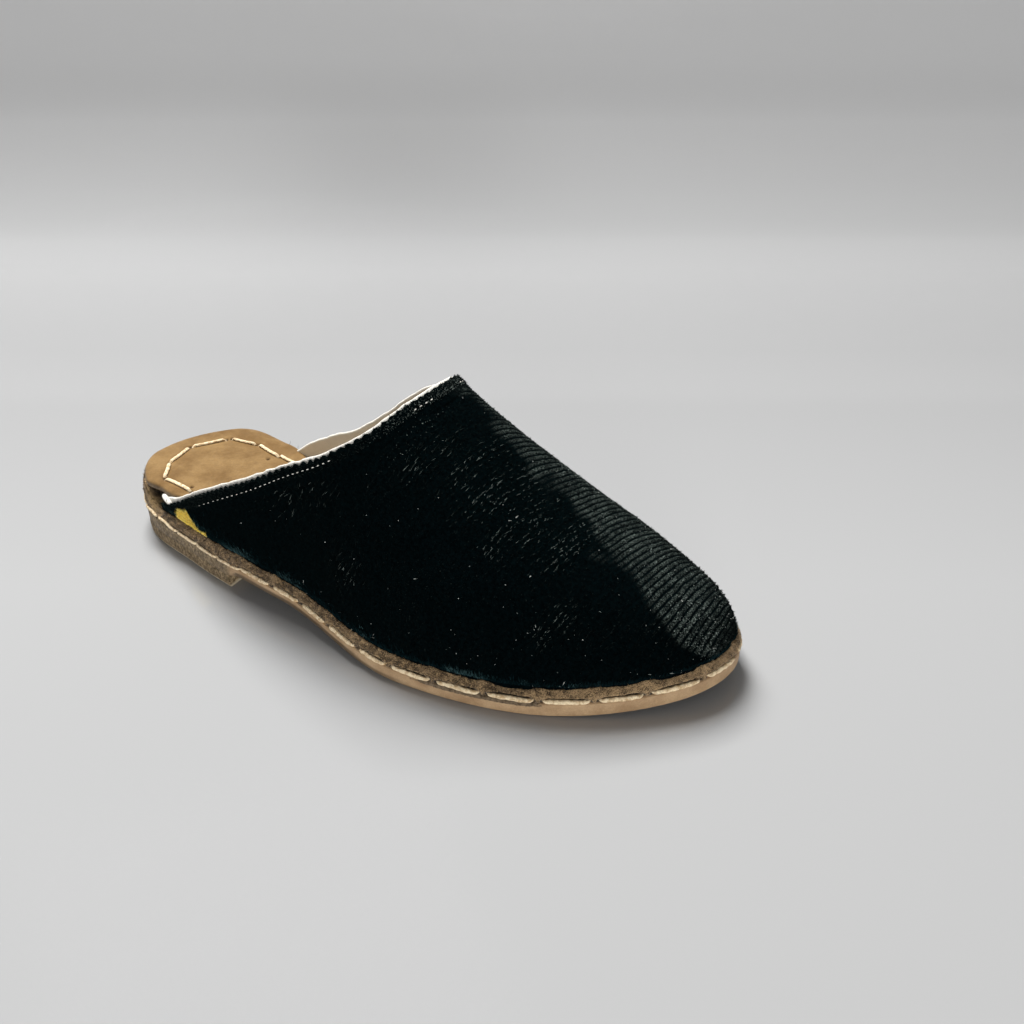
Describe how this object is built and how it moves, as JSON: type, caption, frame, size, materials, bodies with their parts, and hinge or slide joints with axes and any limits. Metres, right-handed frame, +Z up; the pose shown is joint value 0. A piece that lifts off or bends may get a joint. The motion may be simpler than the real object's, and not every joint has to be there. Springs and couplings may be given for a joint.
{
  "type": "babouche slipper",
  "caption": "Backless slipper with a pointed-oval toe, a high velvet upper cut low behind the instep, a hand-stitched leather sole and a low stacked heel.",
  "frame": {"origin": "middle of the bottom of the object's box, on the floor", "axes": "+X towards the toe, +Y towards the medial side of a right foot, +Z up"},
  "size_m": [0.25, 0.0944, 0.0845],
  "materials": {
    "heel_leather": "rough stacked leather",
    "sole_leather": "smooth vegetable tan",
    "rand_suede": "rough brown suede",
    "insole_leather": "smooth tan leather",
    "velvet": "black ribbed velvet"
  },
  "bodies": {
    "root": {"heel": "heel_leather", "outsole": "sole_leather", "midsole": "rand_suede", "insole": "insole_leather", "upper": "velvet"}
  },
  "joints": []
}
